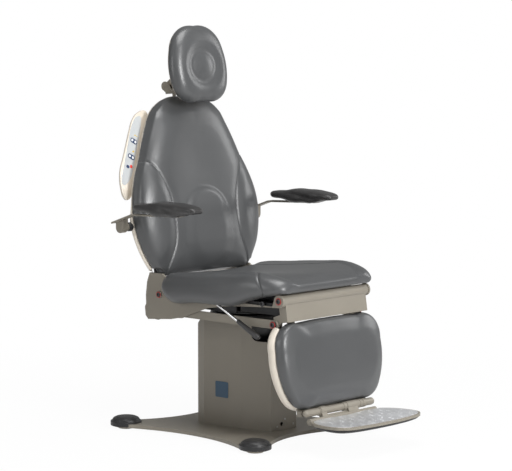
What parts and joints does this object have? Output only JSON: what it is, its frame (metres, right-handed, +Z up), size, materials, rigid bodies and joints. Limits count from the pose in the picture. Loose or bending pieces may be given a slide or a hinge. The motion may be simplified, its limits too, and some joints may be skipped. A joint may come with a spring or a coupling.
{
  "type": "ophthalmic examination chair",
  "caption": "Powered eye examination chair with a column lift, swivelling seat, linked back and legrest, folding armrests and footplate, and an adjustable headrest.",
  "frame": {"origin": "on the floor under the centre of the base", "axes": "+Z up, the chair faces -Y, the patient's right is -X, X = 0 is the plane of symmetry"},
  "size_m": [0.7916, 1.0729, 1.4353],
  "materials": {
    "grey_vinyl": "satin, fine grain",
    "cream_plastic": "smooth satin",
    "taupe_paint": "satin paint",
    "black_steel": "satin black",
    "dark_plastic": "satin",
    "dark_urethane": "soft satin",
    "chrome": "polished",
    "steel": "brushed",
    "tread_aluminium": "textured, bright",
    "membrane": "matt",
    "key_blue": "satin",
    "plywood": "plain",
    "badge": "matt"
  },
  "bodies": {
    "base": {"base_plate": "taupe_paint", "corner_caps": "dark_plastic", "floor_glides": "cream_plastic", "column_cover_right": "taupe_paint", "column_cover_left": "taupe_paint", "cover_screws": "steel", "badge_plate": "badge", "cord_gland": "black_steel", "outer_mast": "black_steel", "lift_drive": "steel"},
    "lift": {"inner_mast": "steel", "lift_screw": "steel", "swivel_base": "black_steel"},
    "turret": {"turntable": "black_steel", "seat_frame": "black_steel", "seat_pan": "plywood", "side_plate_right": "taupe_paint", "side_plate_left": "taupe_paint", "rail_bolts": "black_steel", "ear_bolts": "black_steel", "seat_cushion": "grey_vinyl", "control_box": "dark_plastic", "recline_gearmotor": "black_steel"},
    "brake_lever": {"brake_lever": "chrome", "brake_grip": "dark_urethane"},
    "back": {"back_frame": "black_steel", "back_pivot_shaft": "steel", "back_shell": "cream_plastic", "back_cushion": "grey_vinyl", "pod_right": "cream_plastic", "pod_left": "cream_plastic", "keypad_right": "membrane", "keypad_left": "membrane", "arm_collars": "dark_plastic", "stem_guide": "black_steel"},
    "head_stem": {"headrest_stem": "taupe_paint"},
    "head_link": {"headrest_link": "taupe_paint"},
    "headrest": {"headrest_bracket": "taupe_paint", "headrest_shell": "cream_plastic", "headrest_cushion": "grey_vinyl"},
    "arm_right": {"arm_right": "taupe_paint", "pad_right": "dark_urethane"},
    "arm_left": {"arm_left": "taupe_paint", "pad_left": "dark_urethane"},
    "legrest": {"legrest_frame": "taupe_paint", "link_bolts": "black_steel", "legrest_shell": "cream_plastic", "legrest_cushion": "grey_vinyl", "footrest_rod": "taupe_paint"},
    "footplate": {"footplate_hinge": "taupe_paint", "footplate_tray": "taupe_paint", "footplate_tread": "tread_aluminium", "footplate_underside": "dark_plastic"},
    "push_bars": {"push_bars": "taupe_paint"},
    "back_key_right": {"back_key_right": "key_blue"},
    "lift_key_right": {"lift_key_right": "key_blue"},
    "return_key_right": {"return_key_right": "key_blue"},
    "back_key_left": {"back_key_left": "key_blue"},
    "lift_key_left": {"lift_key_left": "key_blue"},
    "return_key_left": {"return_key_left": "key_blue"}
  },
  "joints": [
    {"name": "column_lift", "type": "slide", "parent": "base", "child": "lift", "axis": [0, 0, 1], "range_m": [0, 0.25]},
    {"name": "seat_turn", "type": "hinge", "parent": "lift", "child": "turret", "pos_m": [0, -0.017, 0.45], "axis": [0, 0, 1], "range_deg": [-165, 165]},
    {"name": "brake_lever_press", "type": "hinge", "parent": "turret", "child": "brake_lever", "pos_m": [-0.245, -0.08, 0.492], "axis": [1, 0, 0], "range_deg": [0, 12]},
    {"name": "back_recline", "type": "hinge", "parent": "turret", "child": "back", "pos_m": [0, 0.197, 0.49], "axis": [-1, 0, 0], "range_deg": [0, 80]},
    {"name": "legrest_raise", "type": "hinge", "parent": "turret", "child": "legrest", "pos_m": [0, -0.368, 0.515], "axis": [-1, 0, 0], "range_deg": [0, 80]},
    {"name": "push_bar_swing", "type": "hinge", "parent": "legrest", "child": "push_bars", "pos_m": [0, -0.338, 0.432], "axis": [-1, 0, 0], "range_deg": [-80, 0]},
    {"name": "footplate_fold", "type": "hinge", "parent": "legrest", "child": "footplate", "pos_m": [0, -0.44159, 0.13164], "axis": [-1, 0, 0], "range_deg": [0, 80]},
    {"name": "headrest_height", "type": "slide", "parent": "back", "child": "head_stem", "axis": [0, 0.1702, 0.9854], "range_m": [0, 0.12]},
    {"name": "headrest_reach", "type": "hinge", "parent": "head_stem", "child": "head_link", "pos_m": [0, 0.38096, 1.21426], "axis": [-1, 0, 0], "range_deg": [0, 30]},
    {"name": "headrest_tilt", "type": "hinge", "parent": "head_link", "child": "headrest", "pos_m": [0, 0.29178, 1.28547], "axis": [-1, 0, 0], "range_deg": [0, 25]},
    {"name": "armrest_flip_right", "type": "hinge", "parent": "back", "child": "arm_right", "pos_m": [-0.356, 0.26791, 0.73247], "axis": [-1, 0, 0], "range_deg": [0, 90]},
    {"name": "back_key_rock_right", "type": "hinge", "parent": "back", "child": "back_key_right", "pos_m": [-0.22315, 0.3335, 1.0276], "axis": [0.5, 0.1474, 0.8534], "range_deg": [-2, 2], "stiffness_Nm_per_rad": 0.2},
    {"name": "lift_key_rock_right", "type": "hinge", "parent": "back", "child": "lift_key_right", "pos_m": [-0.24501, 0.32414, 0.97343], "axis": [0.5, 0.1474, 0.8534], "range_deg": [-2, 2], "stiffness_Nm_per_rad": 0.2},
    {"name": "return_key_press_right", "type": "slide", "parent": "back", "child": "return_key_right", "axis": [0, 0.9854, -0.1702], "range_m": [0, 0.0006], "stiffness_N_per_m": 300},
    {"name": "armrest_flip_left", "type": "hinge", "parent": "back", "child": "arm_left", "pos_m": [0.356, 0.26791, 0.73247], "axis": [-1, 0, 0], "range_deg": [0, 90]},
    {"name": "back_key_rock_left", "type": "hinge", "parent": "back", "child": "back_key_left", "pos_m": [0.22315, 0.3335, 1.0276], "axis": [-0.5, 0.1474, 0.8534], "range_deg": [-2, 2], "stiffness_Nm_per_rad": 0.2},
    {"name": "lift_key_rock_left", "type": "hinge", "parent": "back", "child": "lift_key_left", "pos_m": [0.24501, 0.32414, 0.97343], "axis": [-0.5, 0.1474, 0.8534], "range_deg": [-2, 2], "stiffness_Nm_per_rad": 0.2},
    {"name": "return_key_press_left", "type": "slide", "parent": "back", "child": "return_key_left", "axis": [0, 0.9854, -0.1702], "range_m": [0, 0.0006], "stiffness_N_per_m": 300}
  ],
  "couplings": [
    {"joint": "legrest_raise", "follows": "back_recline", "ratio": 1},
    {"joint": "push_bar_swing", "follows": "back_recline", "ratio": -1}
  ]
}
